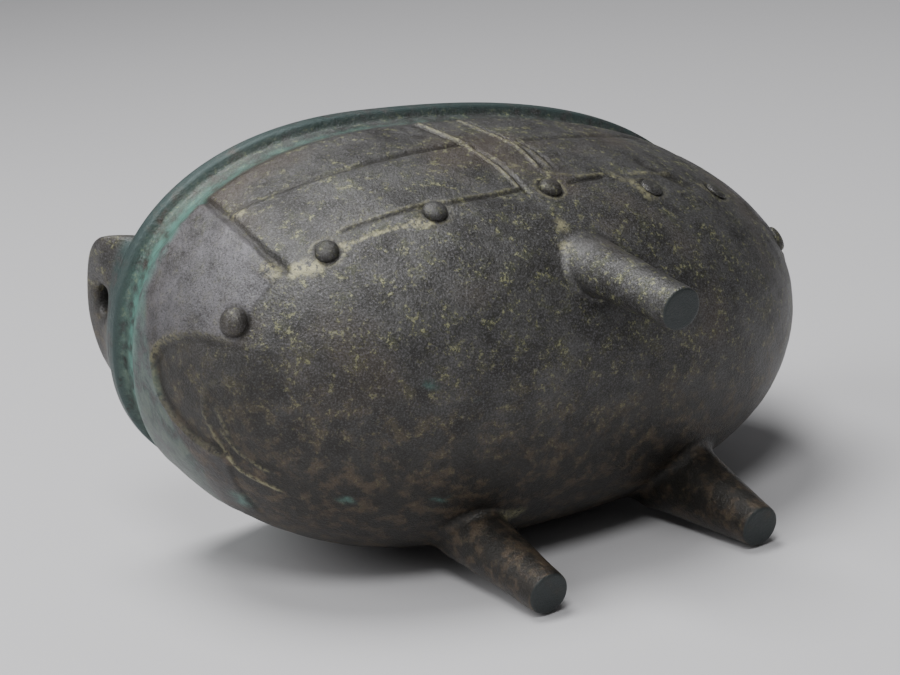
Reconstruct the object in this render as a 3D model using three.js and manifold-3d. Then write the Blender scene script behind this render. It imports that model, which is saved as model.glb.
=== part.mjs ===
// Small bronze ding: a deep bowl, long oval in plan, cast in one with three
// short round legs, two upright arched ears and a row of round studs.
// Millimetres, +Z up. Origin under the middle of the length, on the table.
import * as THREE from 'three';
import { mergeVertices } from 'three/addons/utils/BufferGeometryUtils.js';
import Module from 'manifold-3d';

const wasm = await Module();
wasm.setup();

// ---- plan of the mouth -------------------------------------------------
const HALF_LENGTH = 75;           // long way, lip edge to middle
const HALF_WIDTH = 41.7;          // short way
const WIDEST_X = -17;             // the plan is widest nearer the full end
const FULL_END = HALF_LENGTH + WIDEST_X;
const NARROW_END = HALF_LENGTH - WIDEST_X;
const PLAN_POWER = 2.3;           // 2 would be a true ellipse

// ---- heights -----------------------------------------------------------
const BELLY_BOTTOM = 18.6;        // underside of the bowl above the table
const LIP_TOP = 91;
const LIP_EDGE = 2.6;             // height of the upright edge of the lip
const LIP_FOOT = LIP_TOP - LIP_EDGE;
const NECK_Z = 84;                // narrowest part under the lip
const NECK_START = 78;
const NECK_IN = 1.8;              // how far the neck draws in
const DEPTH = LIP_TOP - BELLY_BOTTOM;

// ---- section of the bowl -----------------------------------------------
const SHOULDER = 0.785;           // part of the depth at which it is fullest
const UNDER_POWER = 2.5;
const SIDE_POWER = 2.35;
const WALL = 3.2;
const FLOOR = 3.6;
const NECK_INSIDE = 0.8;          // how much of the neck shows on the inside
const OVER_MOUTH = 4;             // the hollow is cut this far past the lip

// ---- legs --------------------------------------------------------------
const LEG_TIP_R = 4.4;
const LEG_EDGE = 0.4;             // softened edge of the foot
const LEG_ROOT = 30;              // height at which the root is measured
const LEG_TOP = 42;               // buried in the wall of the bowl
const LEG_FLARE = 1.2;            // above 1, the leg widens mostly near its root
const LEGS = [
  { foot: [-0.8, -29.3], root: [-0.6, -27.3], outward: 5.3, sideways: 6.8 },
  { foot: [-24.1, 26.6], root: [-23.3, 27.1], outward: 6.8, sideways: 7.2 },
  { foot: [27.4, 22.4], root: [27.3, 23.3], outward: 7.4, sideways: 9.2 },
];

// ---- ears --------------------------------------------------------------
const EAR_RISE = 13;              // above the lip
const EAR_HALF = 15.1;            // half of its width at the lip
const EAR_POWER = 2.37;           // squareness of the arch
const EAR_THICK = 4.6;
const EAR_ROOT = 1.6;             // sunk into the lip
const EAR_STRAIGHT = 6;           // above this height the ear is flat
const EAR_SET_IN = 0.6;           // foot of the ear, in from the lip edge
const EAR_FACE_IN = 1;            // upright face of the ear, in from the lip edge
const EAR_HOLE_HALF = 3.2;
const EAR_HOLE_LOW = 2.4;         // above the lip
const EAR_HOLE_TOP = 8.3;
const FULL_EAR = { side: -1, y: -3.8, turn: 0.08 };
const NARROW_EAR = { side: 1, y: 0, turn: 0 };

// ---- studs, all towards the side with the single leg ---------------------
const STUD_R = 2.4;
const STUD_PROUD = 1.5;
const WORN_PROUD = 0.8;
const SIDE_STUDS = [
  { x: -51.5, z: 46.3, proud: STUD_PROUD },
  { x: -29, z: 44.1, proud: STUD_PROUD },
  { x: -0.6, z: 45.8, proud: STUD_PROUD },
  { x: 25.4, z: 45.9, proud: WORN_PROUD },
  { x: 47, z: 50.8, proud: WORN_PROUD },
];
const END_STUD_R = 2.9;
const END_STUDS = [
  { side: -1, y: -16.2, z: 51.2, proud: 2.6 },
  { side: 1, y: -16.2, z: 51.2, proud: STUD_PROUD },
];
const STUD_DEEP = 1.2;            // sunk into the wall

// ---- fineness ----------------------------------------------------------
const AROUND = 68;
const RINGS_BELOW = 13;
const RINGS_NECK = 7;
const LEG_SIDES = 24;
const LEG_RINGS = 5;
const STUD_SIDES = 12;
const EAR_FOOT_STEPS = 8;
const ARCH_STEPS = 18;

function smooth(t) {
  const c = Math.min(1, Math.max(0, t));
  return c * c * (3 - 2 * c);
}

// Fullness of the bowl (0 to 1) at a part s of its depth.
function fullness(s) {
  if (s >= SHOULDER) return 1;
  const u = Math.max(0, (SHOULDER - s) / SHOULDER);
  return Math.pow(Math.max(0, 1 - Math.pow(u, UNDER_POWER)), 1 / SIDE_POWER);
}

// How far the neck stands in from the belly at a height z.
function neckIn(z) {
  if (z <= NECK_START || z >= LIP_FOOT) return 0;
  if (z < NECK_Z) return NECK_IN * smooth((z - NECK_START) / (NECK_Z - NECK_START));
  return NECK_IN * smooth((LIP_FOOT - z) / (LIP_FOOT - NECK_Z));
}

// Signed power, for the rounded-square outlines.
function signedPower(v, power) {
  return Math.sign(v) * Math.pow(Math.abs(v), power);
}

// Point of the plan at angle a for a section of fullness f, drawn in by d.
// Lower sections are the same outline, smaller about the middle of the bowl.
function planPoint(a, f, d) {
  const c = Math.cos(a);
  const reach = c >= 0 ? NARROW_END : FULL_END;
  const x = signedPower(c, 2 / PLAN_POWER) * Math.max(0, reach * f - d);
  const y = signedPower(Math.sin(a), 2 / PLAN_POWER) * Math.max(0, HALF_WIDTH * f - d);
  return [WIDEST_X * f + x, y];
}

// Lip edge x at a given y, at either end (side -1 full end, +1 narrow end).
function lipX(y, side) {
  const reach = side > 0 ? NARROW_END : FULL_END;
  const k = 1 - Math.pow(Math.min(1, Math.abs(y) / HALF_WIDTH), PLAN_POWER);
  return WIDEST_X + side * reach * Math.pow(k, 1 / PLAN_POWER);
}

function solidOf(points, tris) {
  const g = new THREE.BufferGeometry();
  g.setAttribute('position', new THREE.Float32BufferAttribute(points.flat(), 3));
  g.setIndex(tris.flat());
  const m = mergeVertices(g, 1e-5);
  return new wasm.Manifold(new wasm.Mesh({
    numProp: 3,
    vertProperties: new Float32Array(m.attributes.position.array),
    triVerts: new Uint32Array(m.index.array),
  }));
}

// Closed skin through a stack of rings, with a point at each end.
function ringStack(rings, low, high) {
  const n = rings[0].length;
  const points = [low, ...rings.flat(), high];
  const at = (i, j) => 1 + i * n + (j % n);
  const last = rings.length - 1;
  const tris = [];
  for (let j = 0; j < n; j++) {
    tris.push([0, at(0, j + 1), at(0, j)]);
    for (let i = 0; i < last; i++) {
      tris.push([at(i, j), at(i, j + 1), at(i + 1, j + 1)]);
      tris.push([at(i, j), at(i + 1, j + 1), at(i + 1, j)]);
    }
    tris.push([at(last, j), at(last, j + 1), points.length - 1]);
  }
  return solidOf(points, tris);
}

// Plan angles that cut the outline into steps of even length.
function planAngles() {
  const fine = 4000;
  const len = [0];
  let p = planPoint(0, 1, 0);
  for (let i = 1; i <= fine; i++) {
    const q = planPoint((i / fine) * 2 * Math.PI, 1, 0);
    len.push(len[i - 1] + Math.hypot(q[0] - p[0], q[1] - p[1]));
    p = q;
  }
  const angles = [];
  let k = 0;
  for (let j = 0; j < AROUND; j++) {
    const want = (j / AROUND) * len[fine];
    while (len[k + 1] < want) k++;
    const t = (want - len[k]) / (len[k + 1] - len[k]);
    angles.push(((k + t) / fine) * 2 * Math.PI);
  }
  return angles;
}
const ANGLES = planAngles();

function bowlRing(z, f, d) {
  return ANGLES.map((a) => [...planPoint(a, f, d), z]);
}

// Rings of a bowl whose bottom is at height low, closer together near the
// bottom, where it curves most. drawIn(z) is taken off the outline.
function bowlRings(low, drawIn) {
  const depth = LIP_TOP - low;
  const ring = (z) => bowlRing(z, fullness((z - low) / depth), drawIn(z));
  const rings = [];
  for (let i = 1; i <= RINGS_BELOW; i++) {
    rings.push(ring(low + (NECK_START - low) * (i / RINGS_BELOW) ** 2));
  }
  for (let i = 1; i <= RINGS_NECK; i++) {
    rings.push(ring(NECK_START + (LIP_FOOT - NECK_START) * (i / RINGS_NECK)));
  }
  return rings;
}

// Outside of the bowl, filled in.
function outsideSolid() {
  const rings = bowlRings(BELLY_BOTTOM, neckIn);
  rings.push(bowlRing(LIP_TOP, 1, 0));
  return ringStack(rings, [0, 0, BELLY_BOTTOM], [0, 0, LIP_TOP]);
}

// The hollow, taken past the mouth so that it cuts clean.
function hollowSolid() {
  const low = BELLY_BOTTOM + FLOOR;
  const high = LIP_TOP + OVER_MOUTH;
  const rings = bowlRings(low, (z) => WALL + NECK_INSIDE * neckIn(z));
  rings.push(bowlRing(high, 1, WALL));
  return ringStack(rings, [0, 0, low], [0, 0, high]);
}

// One leg: a round foot that grows to a broader root, turned to face outwards.
function legSolid({ foot, root, outward, sideways }) {
  const facing = Math.atan2(foot[1], foot[0]);
  const [fc, fs] = [Math.cos(facing), Math.sin(facing)];
  const centre = (z) => [0, 1].map((i) => foot[i] + (root[i] - foot[i]) * (z / LEG_ROOT));
  const ringAt = (z) => {
    const grow = Math.min(1, z / LEG_ROOT) ** LEG_FLARE;
    const cut = z === 0 ? LEG_EDGE : 0;
    const a = LEG_TIP_R + (outward - LEG_TIP_R) * grow - cut;
    const b = LEG_TIP_R + (sideways - LEG_TIP_R) * grow - cut;
    const [cx, cy] = centre(z);
    const ring = [];
    for (let j = 0; j < LEG_SIDES; j++) {
      const w = (j / LEG_SIDES) * 2 * Math.PI;
      const [u, v] = [a * Math.cos(w), b * Math.sin(w)];
      ring.push([cx + u * fc - v * fs, cy + u * fs + v * fc, z]);
    }
    return ring;
  };
  const heights = [0, LEG_EDGE];
  for (let i = 1; i <= LEG_RINGS; i++) heights.push(LEG_ROOT * (i / LEG_RINGS));
  heights.push(LEG_TOP);
  return ringStack(heights.map(ringAt), [...foot, 0], [...centre(LEG_TOP), LEG_TOP]);
}

// A round stud standing on the outside of the bowl.
function studSolid([centre, normal], r, proud) {
  const side = new THREE.Vector3(0, 0, 1).cross(normal).normalize();
  const top = new THREE.Vector3().crossVectors(normal, side);
  const place = (u, v, w) => centre.clone().addScaledVector(side, u).addScaledVector(top, v)
    .addScaledVector(normal, w).toArray();
  const domeAt = (tilt) => {
    const ring = [];
    for (let j = 0; j < STUD_SIDES; j++) {
      const a = (j / STUD_SIDES) * 2 * Math.PI;
      const k = r * Math.cos(tilt);
      ring.push(place(k * Math.cos(a), k * Math.sin(a), proud * Math.sin(tilt)));
    }
    return ring;
  };
  const buried = domeAt(0).map((p) => new THREE.Vector3(...p)
    .addScaledVector(normal, -STUD_DEEP).toArray());
  const rings = [buried, domeAt(0), domeAt(Math.PI / 6), domeAt(Math.PI / 3)];
  return ringStack(rings, place(0, 0, -STUD_DEEP), place(0, 0, proud));
}

// Point on the outside of the bowl at height z where miss(point) is least,
// with the surface normal there.
function outsideAt(z, miss) {
  const steps = 7200;
  const at = (a, h) => new THREE.Vector3(
    ...planPoint(a, fullness((h - BELLY_BOTTOM) / DEPTH), neckIn(h)), h);
  let best = 0;
  for (let i = 1; i < steps; i++) {
    const a = (i / steps) * 2 * Math.PI;
    if (miss(at(a, z)) < miss(at(best, z))) best = a;
  }
  const p = at(best, z);
  const along = at(best + 2 * Math.PI / steps, z).sub(p);
  const up = at(best, z + 0.05).sub(p);
  return [p, along.cross(up).normalize()];
}

// Upper half of a rounded arch, right to left, as [y, height above the lip].
function arch(half, low, high) {
  const line = [];
  for (let i = 0; i <= ARCH_STEPS; i++) {
    const a = (i / ARCH_STEPS) * Math.PI;
    line.push([half * signedPower(Math.cos(a), 2 / EAR_POWER),
      low + (high - low) * Math.pow(Math.sin(a), 2 / EAR_POWER)]);
  }
  return line;
}

// Points along a level line, left to right, without its ends.
function levelLine(half, h) {
  const line = [];
  for (let i = 1; i < EAR_FOOT_STEPS; i++) line.push([half * (2 * i / EAR_FOOT_STEPS - 1), h]);
  return line;
}

// One ear: a flat upright arch with a small hole. Its foot is bent round to
// stand on the curve of the lip. The slab is turned, not mirrored, to face out.
function earSolid({ side, y: y0, turn }) {
  const outline = [...arch(EAR_HALF, 0, EAR_RISE), [-EAR_HALF, -EAR_ROOT],
    ...levelLine(EAR_HALF, -EAR_ROOT), [EAR_HALF, -EAR_ROOT]];
  const holeMiddle = (EAR_HOLE_LOW + EAR_HOLE_TOP) / 2;
  const lower = arch(EAR_HOLE_HALF, holeMiddle, EAR_HOLE_LOW).slice(1, -1).reverse();
  const hole = [...arch(EAR_HOLE_HALF, holeMiddle, EAR_HOLE_TOP), ...lower].reverse();
  const slab = wasm.Manifold.extrude([outline, hole], EAR_THICK);
  const faceX = side * (HALF_LENGTH - EAR_FACE_IN);
  return slab.warp((p) => {
    const [along, rise, back] = p;
    const y = y0 - side * along;
    const flat = faceX + turn * (y - y0);
    const foot = lipX(y, side) - side * EAR_SET_IN;
    const t = smooth(rise / EAR_STRAIGHT);
    p[0] = foot + (flat - foot) * t - side * back;
    p[1] = y;
    p[2] = LIP_TOP + rise;
  });
}

// Studs along the side with the single leg, and one round the turn at each end.
function studs() {
  const off = (wrong) => (wrong ? 4 * HALF_LENGTH : 0);
  const onSide = SIDE_STUDS.map(({ x, z, proud }) => studSolid(
    outsideAt(z, (p) => Math.abs(p.x - x) + off(p.y > 0)), STUD_R, proud));
  const onEnds = END_STUDS.map(({ side, y, z, proud }) => studSolid(
    outsideAt(z, (p) => Math.abs(p.y - y) + off(p.x * side < 0)), END_STUD_R, proud));
  return [...onSide, ...onEnds];
}

let casting = outsideSolid();
for (const leg of LEGS) casting = casting.add(legSolid(leg));
for (const stud of studs()) casting = casting.add(stud);
casting = casting.subtract(hollowSolid());
for (const ear of [FULL_EAR, NARROW_EAR]) casting = casting.add(earSolid(ear));

const skin = casting.getMesh();
const geometry = new THREE.BufferGeometry();
geometry.setAttribute('position', new THREE.Float32BufferAttribute(skin.vertProperties, 3));
geometry.setIndex(new THREE.Uint32BufferAttribute(skin.triVerts, 1));
geometry.computeVertexNormals();

const bronze = new THREE.MeshStandardMaterial({ color: 0x4a473f, metalness: 0.6, roughness: 0.6 });
bronze.name = 'dark patinated bronze';
const vessel = new THREE.Mesh(geometry, bronze);
vessel.name = 'ding_vessel';

const group = new THREE.Group();
group.name = 'oval_bronze_ding';
group.add(vessel);
export default group;
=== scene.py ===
"""Small oval bronze ding, lying on its side on a pale table.

One casting: a deep bowl with an upright lip, raised lines and end plates,
round studs, three short legs and two arched ears. The vessel's lengths are
in millimetres until a mesh is made, and those of the camera, table and lights
are in metres. +Z is up through the mouth, -Y is the side with the single leg,
and -X is the full end of the oval.
"""

import math

import bpy
import numpy as np
from mathutils import Matrix, Vector


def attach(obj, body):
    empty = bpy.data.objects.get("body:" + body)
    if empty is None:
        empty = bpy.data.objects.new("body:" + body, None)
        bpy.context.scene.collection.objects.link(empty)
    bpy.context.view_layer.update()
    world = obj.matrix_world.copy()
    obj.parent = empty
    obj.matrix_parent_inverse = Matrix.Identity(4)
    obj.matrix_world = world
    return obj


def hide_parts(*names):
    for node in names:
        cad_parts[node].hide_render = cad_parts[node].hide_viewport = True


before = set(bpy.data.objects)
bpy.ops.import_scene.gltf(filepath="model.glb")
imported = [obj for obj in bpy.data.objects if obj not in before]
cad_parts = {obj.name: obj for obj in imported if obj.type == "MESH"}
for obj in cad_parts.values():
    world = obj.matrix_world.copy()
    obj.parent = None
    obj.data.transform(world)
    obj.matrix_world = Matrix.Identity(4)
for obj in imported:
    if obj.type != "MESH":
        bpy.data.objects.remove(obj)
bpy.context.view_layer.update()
MM = 0.001

# ---- camera ---------------------------------------------------------------
CAMERA_AT = Vector((-0.29167, -0.20713, -0.34403))
CAMERA_FORWARD = Vector((0.52547, 0.38682, 0.75779))
CAMERA_UP = Vector((0.13918, -0.91776, 0.37196))
SENSOR = 36.0
LENS = 102.5

# ---- table the vessel lies on: a point of it and the way it faces --------
TABLE_POINT = Vector((0.0278, 0.0272, 0.0003))
TABLE_UP = Vector((-0.079, -0.977, 0.196)).normalized()

# ---- plan of the mouth ---------------------------------------------------
HALF_LENGTH = 75.0
HALF_WIDTH = 41.7
WIDEST_X = -17.0
FULL_END = HALF_LENGTH + WIDEST_X
NARROW_END = HALF_LENGTH - WIDEST_X
PLAN_POWER = 2.3

# ---- heights and section of the bowl --------------------------------------
BELLY_BOTTOM = 18.6
LIP_TOP = 91.0
LIP_EDGE = 2.6
LIP_FOOT = LIP_TOP - LIP_EDGE
NECK_Z = 84.0
NECK_START = 78.0
LIP_STEP = 1.8
NECK_IN = 1.8
DEPTH = LIP_TOP - BELLY_BOTTOM
SHOULDER = 0.785
UNDER_POWER = 2.5
SIDE_POWER = 2.35
WALL = 3.2
FLOOR = 3.6
LIP_ROUND = 0.9

# ---- legs -----------------------------------------------------------------
LEG_TIP_R = 4.4
LEG_EDGE = 0.7
LEG_ROOT = 30.0
LEG_TOP = 42.0
LEG_FLARE = 1.2
LEG_COLUMNS = 84
LEG_TIP_INSETS = (3.6, 3.0, 2.2, 1.2)
LEG_EDGE_STEPS = 5
LEG_SHAFT_STEPS = 46
LEG_FILLET_STEPS = 13
LEG_DENTS = 0.018            # part of the radius
LEG_DENT_SIZE = 9.0
LEGS = [
    dict(foot=(-0.8, -29.3), root=(-0.6, -27.3), outward=5.3, sideways=6.8, fillet=2.0),
    dict(foot=(-24.1, 26.6), root=(-23.3, 27.1), outward=6.8, sideways=7.2, fillet=2.0),
    dict(foot=(27.4, 22.4), root=(27.3, 23.3), outward=7.4, sideways=9.2, fillet=3.2),
]

# ---- ears -----------------------------------------------------------------
EAR_RISE = 13.0
EAR_HALF = 15.1
EAR_POWER = 2.37
EAR_THICK = 4.6
EAR_ROOT = 1.6
EAR_STRAIGHT = 6.0
EAR_SET_IN = 0.6
EAR_HOLE_HALF = 3.2
EAR_HOLE_LOW = 2.4
EAR_HOLE_TOP = 8.3
EAR_STEPS_AROUND = 104
EAR_STEPS_ACROSS = 24
EAR_FOOT_SWELL = 0.5
EAR_DENT = 0.12
EARS = [dict(side=-1, y=-3.8, turn=0.08), dict(side=1, y=0.0, turn=0.0)]

# ---- studs: along the side with the single leg, and one at each end -------
STUD_R = 2.4
STUD_PROUD = 1.5
WORN_PROUD = 0.8
END_STUD_R = 2.9
STUD_ROUNDNESS = 0.8
STUD_LEAST, STUD_MOST = 0.94, 1.04     # part of the radius, drawn for each stud
STUDS = [
    dict(x=-51.5, z=46.3, r=STUD_R, proud=STUD_PROUD, ring=0.3),
    dict(x=-29.0, z=44.1, r=STUD_R, proud=STUD_PROUD, ring=0.3),
    dict(x=-0.6, z=45.8, r=STUD_R, proud=STUD_PROUD, ring=0.5),
    dict(x=25.4, z=45.9, r=STUD_R, proud=WORN_PROUD, ring=0.2),
    dict(x=47.0, z=50.8, r=STUD_R, proud=WORN_PROUD, ring=0.3),
    dict(side=-1, y=-16.2, z=51.2, r=END_STUD_R, proud=2.6, ring=0.0),
    dict(side=1, y=-16.2, z=51.2, r=END_STUD_R, proud=STUD_PROUD, ring=0.0),
]


# ==========================================================================
# Shape rules shared by every part of the casting
# ==========================================================================
def smooth(t):
    """0 below 0, 1 above 1, an even curve between."""
    c = np.clip(t, 0.0, 1.0)
    return c * c * (3.0 - 2.0 * c)


def signed_power(v, power):
    """The power of the size, with the sign kept."""
    return np.sign(v) * np.abs(v) ** power


def fullness(s):
    """Fullness of the bowl, 0 to 1, at a part s of its depth."""
    u = np.clip((SHOULDER - s) / SHOULDER, 0.0, 1.0)
    return (1.0 - u ** UNDER_POWER) ** (1.0 / SIDE_POWER)


def neck_in(z):
    """How far the neck stands in from the belly at a height z."""
    below = smooth((z - NECK_START) / (NECK_Z - NECK_START))
    above = smooth((LIP_FOOT - z) / LIP_STEP)
    return NECK_IN * np.where(z < NECK_Z, below, above)


def plan_point(angle, full, drawn_in):
    """Point of the plan at an angle, for a section of that fullness."""
    c = np.cos(angle)
    reach = np.where(c >= 0, NARROW_END, FULL_END)
    x = signed_power(c, 2 / PLAN_POWER) * np.maximum(0.0, reach * full - drawn_in)
    y = signed_power(np.sin(angle), 2 / PLAN_POWER) * np.maximum(0.0, HALF_WIDTH * full - drawn_in)
    return WIDEST_X * full + x, y


def lip_x(y, side):
    """Lip edge x at a given y, at either end (side -1 full end, +1 narrow end)."""
    reach = NARROW_END if side > 0 else FULL_END
    k = 1.0 - np.minimum(1.0, np.abs(y) / HALF_WIDTH) ** PLAN_POWER
    return WIDEST_X + side * reach * k ** (1 / PLAN_POWER)


def spread(params, lengths, spacing):
    """Values of params along a path, closer where the wanted spacing is small."""
    steps = np.diff(lengths) * 2 / (spacing[1:] + spacing[:-1])
    total = np.concatenate([[0.0], np.cumsum(steps)])
    count = int(round(total[-1]))
    return np.interp(np.linspace(0, total[-1], count + 1), total, params)


def path_lengths(a, b):
    """Length along a path through the points (a, b), from its start."""
    return np.concatenate([[0.0], np.cumsum(np.hypot(np.diff(a), np.diff(b)))])


def near(values, centre, reach):
    """1 within reach of centre, falling to 0 at twice the reach."""
    return 1.0 - smooth((np.abs(values - centre) - reach) / reach)


def normals_of(points):
    """Unit normals of a grid of points, rows first, columns closed round."""
    along = np.roll(points, -1, axis=1) - np.roll(points, 1, axis=1)
    up = np.gradient(points, axis=0)
    n = np.cross(along, up)
    return n / np.maximum(1e-9, np.linalg.norm(n, axis=2, keepdims=True))


# ==========================================================================
# Raised lines, grooves and end plates on the wall
# ==========================================================================
PLATE_GROOVE = [(-60.4, 81), (-60.9, 72), (-60.8, 62), (-60.2, 55), (-58.8, 49)]
UPPER_GROOVE = [(-60.2, 70.2), (-57.8, 69.6), (-51.6, 67.2), (-44.5, 65), (-36, 63.8), (-26, 64.1),
                (-9.1, 65.6)]
LOWER_SEAM = [(-47, 48), (-40.8, 46.8), (-32.2, 46.3), (-24.5, 45.2), (-14.3, 45.3), (-7.8, 46)]
SOIL_SEAM = [(-48.5, 45.5), (-43.2, 44.4), (-34.7, 43.1), (-31.5, 42)]
BAND_LEFT = [(-12.1, 78.8), (-10.6, 73), (-8.6, 66.5)]
PANEL_RIDGE = [(-9.2, 64.5), (-8.1, 55), (-7.6, 47)]
PANEL_GROOVE = [(-7.9, 63), (-6.8, 55), (-6.5, 45.3)]
BAND_MIDDLE = [(-2, 78.6), (0, 70), (2, 63), (1.5, 57.3), (0.9, 53)]
BAND_RIGHT = [(4.1, 65), (5, 59.3), (4.8, 52.8)]
RIGHT_UPPER = [(6.5, 65.2), (19.2, 67.4), (27.4, 69.4), (44, 76)]
RIGHT_LOWER = [(1.4, 50.7), (8.4, 48.9), (14.9, 49.5)]
RIGHT_SEAM = [(5.2, 47.1), (14.2, 48.6)]
FAR_RIDGE = [(22, 49.9), (35, 53)]
OVAL_MARK = [(-17.6, 71.4), (-16, 72.3), (-14.2, 71.4), (-16, 70.5), (-17.6, 71.4)]

# Lines of the long side with the single leg, through (x, z) points.
# Grooves and pits get painted shade as their dark mask; soil is the deposit's own colour.
WALL_LINES = [
    dict(line=PLATE_GROOVE, half=0.6, rise=-0.75, painted_shade_and_dark_tone=0.75),
    dict(line=UPPER_GROOVE, half=0.6, rise=-0.65, painted_shade_and_dark_tone=0.8),
    dict(line=LOWER_SEAM, half=0.4, rise=-0.35, painted_shade_and_dark_tone=0.75),
    dict(line=[(x, z + 0.8) for x, z in LOWER_SEAM], half=0.3, rise=0.15, soil=0.25),
    dict(line=SOIL_SEAM, half=0.3, rise=-0.15, soil=0.75),
    dict(line=BAND_LEFT, half=0.36, rise=0.4, soil=0.55),
    dict(line=[(x - 1.3, z) for x, z in BAND_LEFT], half=0.5, rise=-0.3, painted_shade_and_dark_tone=0.6),
    dict(line=PANEL_RIDGE, half=0.34, rise=0.35, soil=0.6),
    dict(line=PANEL_GROOVE, half=0.5, rise=-0.5, painted_shade_and_dark_tone=0.9),
    dict(line=BAND_MIDDLE, half=0.36, rise=0.35, soil=0.55),
    dict(line=[(x + 1.3, z) for x, z in BAND_MIDDLE], half=0.45, rise=-0.35, painted_shade_and_dark_tone=0.7),
    dict(line=BAND_RIGHT, half=0.4, rise=-0.35, painted_shade_and_dark_tone=0.7),
    dict(line=[(x - 0.8, z) for x, z in BAND_RIGHT], half=0.35, rise=0.15, soil=0.35),
    dict(line=RIGHT_UPPER, half=0.6, rise=-0.3, painted_shade_and_dark_tone=0.5),
    dict(line=RIGHT_LOWER, half=0.36, rise=0.25, soil=0.4),
    dict(line=RIGHT_SEAM, half=0.42, rise=-0.4, painted_shade_and_dark_tone=0.8),
    dict(line=FAR_RIDGE, half=0.45, rise=0.25, soil=0.45),
    dict(line=OVAL_MARK, half=0.35, rise=-0.25, painted_shade_and_dark_tone=0.6),
    dict(line=[(30, 56), (33, 52), (38, 49)], half=1.3, rise=-0.5, painted_shade_and_dark_tone=0.55),
    dict(line=[(46, 52.5), (48.5, 51)], half=1.0, rise=-0.4, painted_shade_and_dark_tone=0.7),
]
# Soil caked in corners of that side.
WALL_SOIL = [
    dict(line=[(-57.7, 47.8), (-54, 45.2)], half=1.0, rise=0.1, soil=0.95),
    dict(line=[(-61, 52.5), (-60.2, 50)], half=0.9, rise=0.1, soil=0.7),
    dict(line=[(-59.6, 69), (-58.8, 68)], half=0.8, rise=0.1, soil=0.9),
    dict(line=[(-34, 43.2), (-31.2, 41.8)], half=0.8, rise=0.1, soil=0.95),
    dict(line=[(-48.6, 46.2), (-48.2, 44.6)], half=0.5, rise=0.1, soil=0.8),
    dict(line=[(21.2, 47), (22.9, 43.4)], half=1.3, rise=0.1, soil=0.6),
    dict(line=[(17.5, 50), (19, 48)], half=0.9, rise=0.1, soil=0.4),
    dict(line=[(43.2, 51.2), (44.2, 50.2)], half=0.9, rise=0.1, soil=0.5),
    dict(line=[(-4.1, 54.6), (-3.9, 53.6)], half=0.7, rise=0.1, soil=0.5),
]
# Lines of the full end, through (y, z) points; the groove just inside the arch gets painted shade.
ARCH = [(-12.5, 50.5), (-12.4, 53.1), (-11.6, 58), (-9.2, 63.6), (-6.7, 67.8), (-4.4, 69.6), (-1.4, 70.6),
        (2.8, 69.2), (5.2, 67.5), (8.4, 62.5), (10.6, 57), (11.4, 51)]
TONGUE = [(-4.8, 49), (-3.4, 52.4), (-2, 53.8), (0.8, 54.3), (3.3, 53.8)]
END_LINES = [
    dict(line=ARCH, half=0.45, rise=0.3, soil=0.2),
    dict(line=[(0.9 * y, z - 1.4) for y, z in ARCH], half=0.8, rise=-0.2, painted_shade_and_dark_tone=0.35),
    dict(line=ARCH[3:7], half=0.35, rise=0.1, soil=0.6),
    dict(line=TONGUE, half=0.45, rise=0.3, soil=0.15),
    dict(line=[(3.3, 54.1), (8, 51.5), (13.7, 47.2), (16.2, 41)], half=0.35, rise=0.25, soil=0.6),
    dict(line=[(6, 50), (10, 46.5), (12, 42)], half=0.3, rise=0.15, soil=0.45),
    dict(line=[(1.5, 51), (6, 48.6)], half=0.3, rise=0.15, soil=0.4),
]
PLATE_X = -60.6              # edge of the full end's plate
NARROW_PLATE_X = 57.4
PLATE_LOW = 49.2
PLATE_PROUD = 0.35
ARCH_SUNK = 0.25
ARCH_TOP = 70.6
ARCH_FOOT = 40.0
NARROW_ARCH_HALF = 11.0
NARROW_ARCH_DEEP = 22.0
# Small caked spots anywhere: place, reach, and how much soil or green.
SPOTS = [
    dict(at=(-3.8, -33.6, 36.3), reach=1.5, soil=0.9),
    dict(at=(-5.7, -30.6, 31.9), reach=1.5, soil=0.7),
    dict(at=(-22.4, 23.5, 25.7), reach=2.2, soil=1.0),
    dict(at=(-19.2, 22.8, 25.0), reach=2.2, soil=1.0),
    dict(at=(-16.2, 22.6, 24.6), reach=1.8, soil=1.0),
    dict(at=(-64.1, 22.3, 51.3), reach=2.5, green=0.7),
    dict(at=(-39.5, -9.6, 24.7), reach=1.0, green=0.9),
    dict(at=(-34.6, 15.9, 24.7), reach=0.9, green=0.9),
    dict(at=(-51.5, 16.3, 32.6), reach=1.0, green=0.9),
    dict(at=(-30, -6, 22.5), reach=0.8, green=0.7),
]
# Lowest reach of the green under the lip: degrees round from the full end.
GREEN_FLOOR = [(-180, 85), (-121, 84.2), (-90, 82.3), (-50, 80.4), (-33, 79), (-22, 76), (-14, 76.5),
               (-7, 73), (5, 66), (18, 56), (40, 62), (90, 76), (180, 85)]
GREEN_STRENGTH = [(-180, 0.3), (-70, 0.35), (-45, 0.5), (-30, 0.8), (-18, 1.0), (0, 0.95), (20, 0.8),
                  (60, 0.5), (180, 0.3)]
GREEN_FULL_Z = 76.0          # the green is at its fullest a little above this
# The crease round a stud, sunk and darkened with painted shade, and the soil outside it: middle past the
# stud's radius, and half width.
CREASE_AT, CREASE_HALF, CREASE_DEEP = 0.1, 0.7, 0.2
RING_SOIL_AT, RING_SOIL_HALF = 0.9, 0.6


def gap_to_line(x, z, points):
    """Distance from each (x, z) to a line through the points."""
    best = np.full(np.broadcast(x, z).shape, 1e9)
    for (x0, z0), (x1, z1) in zip(points[:-1], points[1:]):
        dx, dz = x1 - x0, z1 - z0
        t = np.clip(((x - x0) * dx + (z - z0) * dz) / (dx * dx + dz * dz), 0.0, 1.0)
        best = np.minimum(best, np.hypot(x - x0 - t * dx, z - z0 - t * dz))
    return best


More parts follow.
